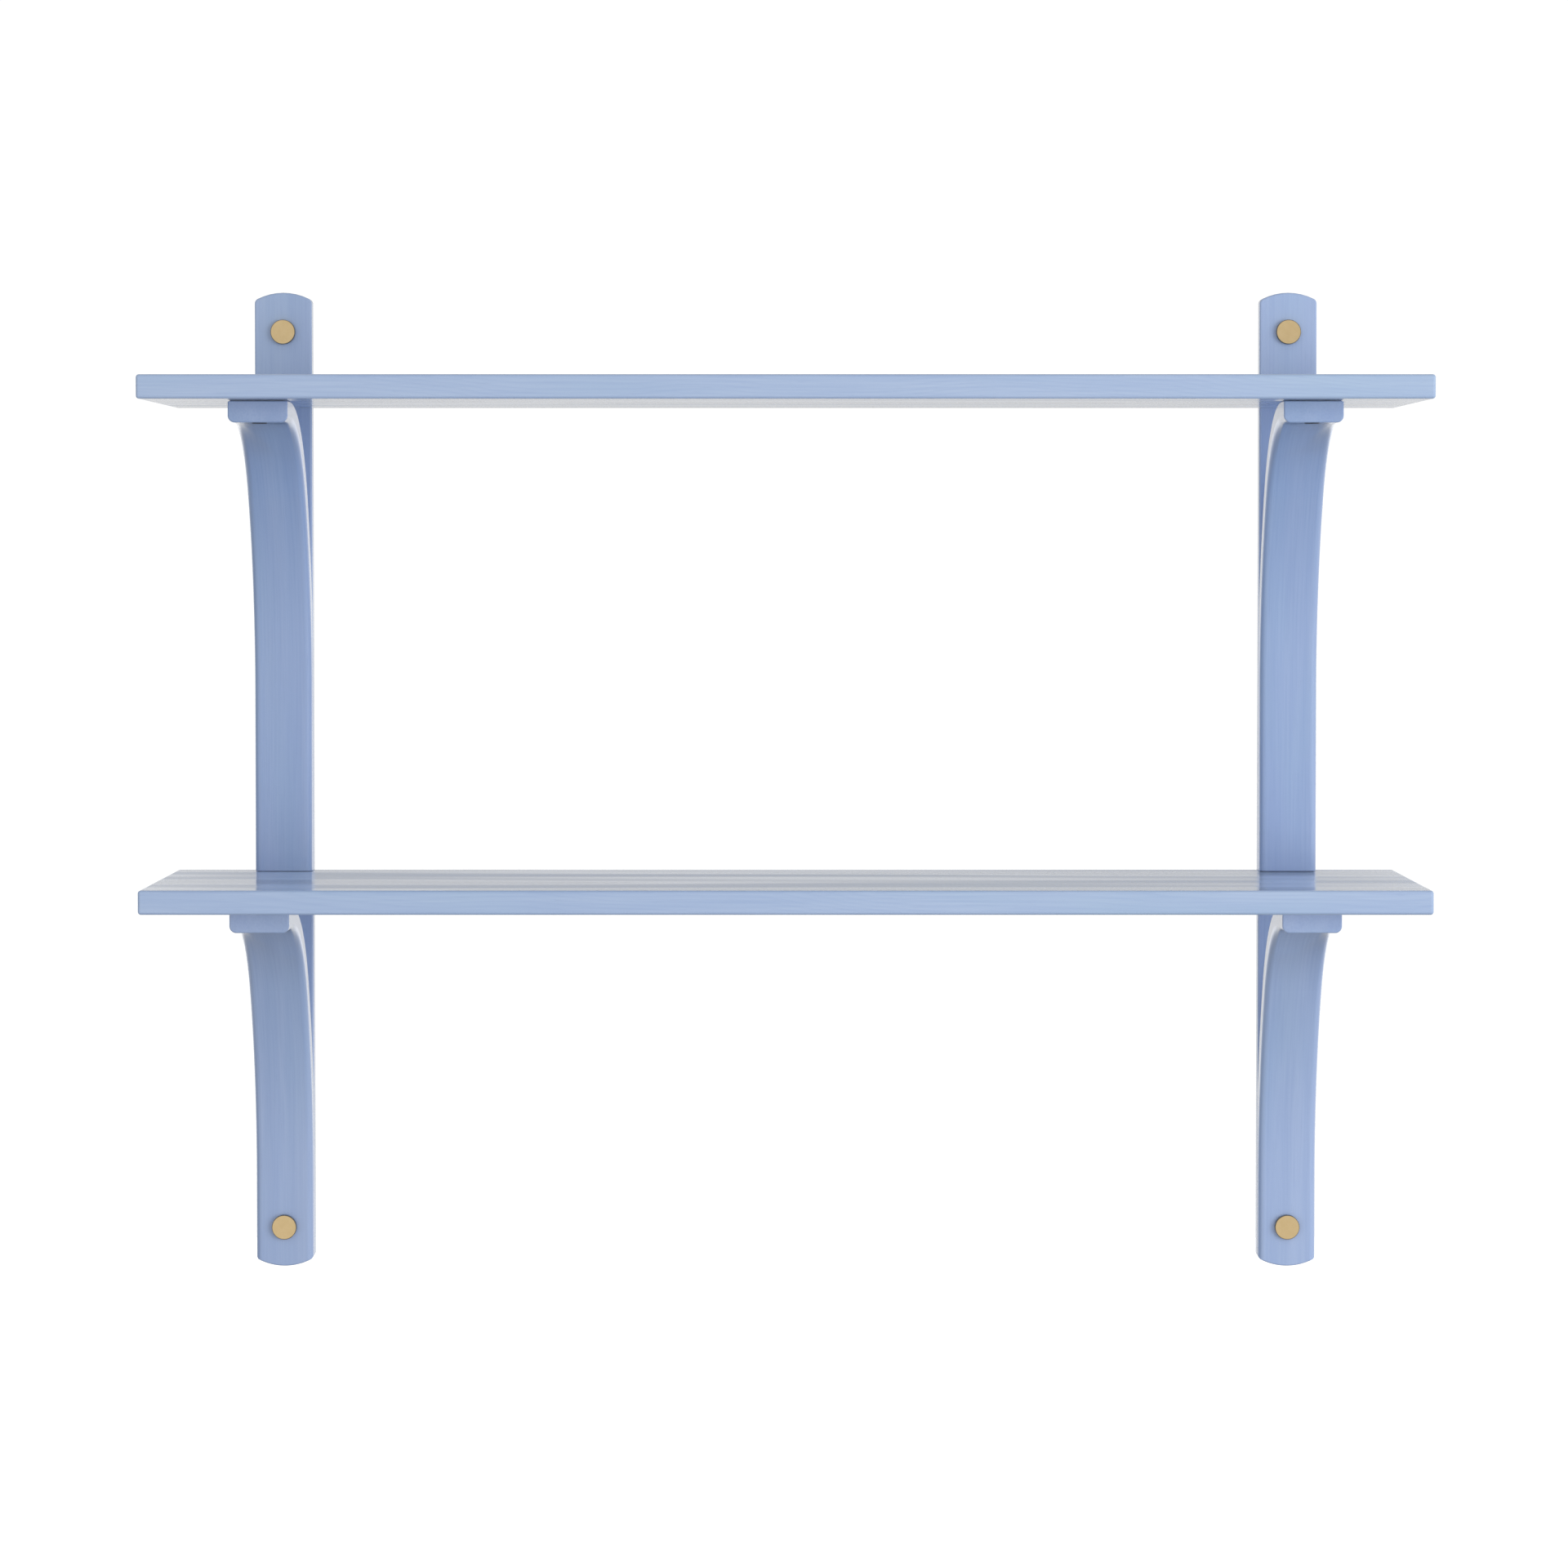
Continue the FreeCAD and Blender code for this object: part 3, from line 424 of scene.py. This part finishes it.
for number, level in enumerate(("upper", "lower")):
    offset = (number * 1.7, 0.31 * number, 0.5)
    coat(f"{level}_shelf", painted_wood(f"painted_{level}_shelf", BOARD_PAINTED_LIGHT, BOARD_SATIN, BOARD_SWELL,
                                        board_grain, offset))
    arm_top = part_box(f"{level}_left_arm")[1][2]
    for turn, side in enumerate(("left", "right")):
        # Painted light and shade: right-hand arms lighter than left ones, arms under the boards darker.
        painted_light = [BRACKET_PAINTED_LIGHT[side] * part for part in ARM_PAINTED_SHADE[level]]
        offset = (2.3 + number * 1.1, 0.4 + turn * 0.6, 0.2 * number)
        coat(f"{level}_{side}_arm", painted_wood(f"painted_{level}_{side}_arm", painted_light, BRACKET_SATIN,
                                                 BRACKET_SWELL, arm_grain, offset, arm_top))
for turn, side in enumerate(("left", "right")):
    # Painted light: the right-hand upright lighter than the left.
    painted_light = [BRACKET_PAINTED_LIGHT[side] * part for part in UPRIGHT_PAINTED_LIGHT]
    offset = (5.1 + turn, 0.7, 0.3)
    coat(f"{side}_upright", painted_wood(f"painted_{side}_upright", painted_light, BRACKET_SATIN, BRACKET_SWELL,
                                         upright_grain, offset))

brass_finish = brass()
zinc_finish = zinc()
black_finish = black_steel()
for side in ("left", "right"):
    for end in ("top", "bottom"):
        coat(f"{end}_{side}_cap", brass_finish)
    for level in ("upper", "lower"):
        coat(f"{level}_{side}_board_screw", black_finish)
        coat(f"{level}_{side}_arm_screws", zinc_finish)


# ---------------------------------------------------------------- wall screws

def thread_radius(y, turns):
    """Distance of the threaded part's surface from the axis; turns is the angle round it, in turns."""
    to_tip = SCREW_REACH - y
    fullness = min(1.0, max(0.0, to_tip / SCREW_TIP))
    run_in = min(1.0, max(0.0, y / SCREW_PITCH))
    phase = (y / SCREW_PITCH - turns) % 1.0
    flank = max(0.0, 1.0 - abs(phase - 0.5) / SCREW_FLANK)
    core = SCREW_ROOT * fullness
    height = (SCREW_CREST - SCREW_ROOT) * min(1.0, SCREW_TIP_CREST * fullness) * run_in
    return min(core + height * flank, SCREW_CREST)


def screw_rings(mesh, front):
    """The screw's vertices, ring by ring from the bottom of the head's bore to the point.

    front is where the head's face lies. The first and the last ring are single points.
    """
    angles = [2 * math.pi * side / SCREW_SIDES for side in range(SCREW_SIDES)]

    def ring(y, radii):
        return [mesh.verts.new((radius * math.cos(angle), y, radius * math.sin(angle)))
                for angle, radius in zip(angles, radii)]

    bore_end = front + SCREW_BORE_DEPTH
    cone_end = front + SCREW_HEAD - SCREW_SHANK
    plain = [(bore_end, SCREW_BORE), (front, SCREW_BORE), (front, SCREW_HEAD), (cone_end, SCREW_SHANK),
             (-SCREW_RUN_OUT, SCREW_SHANK), (0.0, SCREW_ROOT)]
    rings = [[mesh.verts.new((0.0, bore_end, 0.0))]]
    rings += [ring(y, [radius] * SCREW_SIDES) for y, radius in plain]
    steps = SCREW_TURN_STEPS * round(SCREW_REACH / SCREW_PITCH)
    for step in range(1, steps):
        y = SCREW_REACH * step / steps
        rings.append(ring(y, [thread_radius(y, side / SCREW_SIDES) for side in range(SCREW_SIDES)]))
    rings.append([mesh.verts.new((0.0, SCREW_REACH, 0.0))])
    return rings


def make_wall_screw(node):
    """Countersunk screw with a real thread, turned about Y; its head is bored for the cap."""
    low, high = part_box(node)
    mesh = bmesh.new()
    rings = screw_rings(mesh, low[1])
    for first, second in zip(rings, rings[1:]):
        for side in range(SCREW_SIDES):
            following = (side + 1) % SCREW_SIDES
            if len(first) == 1:
                mesh.faces.new((first[0], second[following], second[side]))
            elif len(second) == 1:
                mesh.faces.new((first[side], first[following], second[0]))
            else:
                mesh.faces.new((first[side], first[following], second[following], second[side]))
    bmesh.ops.recalc_face_normals(mesh, faces=mesh.faces)
    data = bpy.data.meshes.new(f"{node}_threaded")
    mesh.to_mesh(data)
    mesh.free()
    for polygon in data.polygons:
        polygon.use_smooth = True
    data.set_sharp_from_angle(angle=SCREW_CREASE)

    piece = bpy.data.objects.new(f"{node}_threaded", data)
    piece.location = ((low[0] + high[0]) / 2, 0.0, (low[2] + high[2]) / 2)
    piece.data.materials.append(zinc_finish)
    bpy.context.scene.collection.objects.link(piece)
    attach(piece, "root")
    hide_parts(node)


for side in ("left", "right"):
    for end in ("top", "bottom"):
        make_wall_screw(f"{end}_{side}_wall_screw")


# ---------------------------------------------------------------- floor, lights and camera

def make_floor():
    """Plain white floor well below the shelf, seen by the camera and by no surface."""
    z = cad_box[0][2] - FLOOR_DROP
    corners = [(x * FLOOR_HALF, y * FLOOR_HALF, z) for x, y in ((-1, -1), (1, -1), (1, 1), (-1, 1))]
    data = bpy.data.meshes.new("floor")
    data.from_pydata(corners, [], [(0, 1, 2, 3)])
    floor = bpy.data.objects.new("floor", data)
    bpy.context.scene.collection.objects.link(floor)
    material, _, shader = new_material("floor_white")
    shader.inputs["Base Color"].default_value = (0.9, 0.9, 0.9, 1.0)
    shader.inputs["Roughness"].default_value = 0.9
    shader.inputs["Emission Color"].default_value = (1.0, 1.0, 1.0, 1.0)
    shader.inputs["Emission Strength"].default_value = 0.7
    data.materials.append(material)
    floor.visible_diffuse = False
    floor.visible_glossy = False


def make_key_light():
    """Large soft light from the right, turned to the shelf's middle."""
    lamp = bpy.data.lights.new("key", "AREA")
    lamp.shape = "SQUARE"
    lamp.size = KEY_SIZE
    lamp.energy = KEY_POWER
    light = bpy.data.objects.new("key", lamp)
    light.location = KEY_PLACE
    light.rotation_euler = (-Vector(KEY_PLACE)).to_track_quat("-Z", "Y").to_euler()
    light.visible_glossy = False
    bpy.context.scene.collection.objects.link(light)


def make_world():
    """White studio, brightest round the horizon, with a softer stretch behind the shelf between two
    bright strips. The camera itself sees a clean white."""
    world = bpy.data.worlds.new("studio")
    bpy.context.scene.world = world
    world.use_nodes = True
    nodes = Nodes(world.node_tree)
    background = world.node_tree.nodes["Background"]
    toward = nodes.add("ShaderNodeSeparateXYZ")
    nodes.link(nodes.add("ShaderNodeTexCoord").outputs["Generated"], toward.inputs[0])
    x, y, z = toward.outputs

    up_to_horizon = nodes.spread(z, -0.95, -0.15, FLOOR_GLOW, ROOM_GLOW)
    up_to_ceiling = nodes.spread(z, 0.08, 0.65, 0.0, CEILING_GLOW - ROOM_GLOW)
    left = nodes.spread(x, -0.96, -0.78, LEFT_SHARE, 1.0)
    right = nodes.spread(x, 0.78, 0.96, 1.0, RIGHT_SHARE)
    room = nodes.math("MULTIPLY", nodes.math("ADD", up_to_horizon, up_to_ceiling),
                      nodes.math("MULTIPLY", left, right))

    behind = nodes.math("MULTIPLY", nodes.spread(y, 0.62, 0.88), nodes.spread(z, -0.5, -0.25))
    beside = nodes.spread(nodes.math("ABSOLUTE", x), 0.11, 0.24)
    middle = nodes.spread(z, 0.01, 0.15, BACK_LOW_GLOW, BACK_HIGH_GLOW)
    back = nodes.math("MULTIPLY_ADD", beside, nodes.math("SUBTRACT", STRIP_GLOW, middle), middle)
    glow = nodes.math("MULTIPLY_ADD", behind, nodes.math("SUBTRACT", back, room), room)

    seen = nodes.math("MULTIPLY", nodes.add("ShaderNodeLightPath").outputs["Is Camera Ray"], CLEAN_WHITE)
    nodes.link(nodes.math("MAXIMUM", glow, seen), background.inputs["Strength"])
    background.inputs["Color"].default_value = (1.0, 1.0, 1.0, 1.0)


def make_camera():
    """Long lens straight in front of the shelf, a little above its middle."""
    data = bpy.data.cameras.new("camera")
    data.lens = CAMERA_LENS
    data.sensor_width = CAMERA_SENSOR
    data.shift_x, data.shift_y = CAMERA_SHIFT
    data.clip_end = 60.0
    camera = bpy.data.objects.new("camera", data)
    camera.location = (0.0, -CAMERA_DISTANCE, CAMERA_HEIGHT)
    camera.rotation_euler = (math.radians(90 - CAMERA_PITCH), 0.0, 0.0)
    bpy.context.scene.collection.objects.link(camera)
    bpy.context.scene.camera = camera


make_floor()
make_world()
make_key_light()
make_camera()
bpy.context.scene.view_settings.view_transform = "Standard"
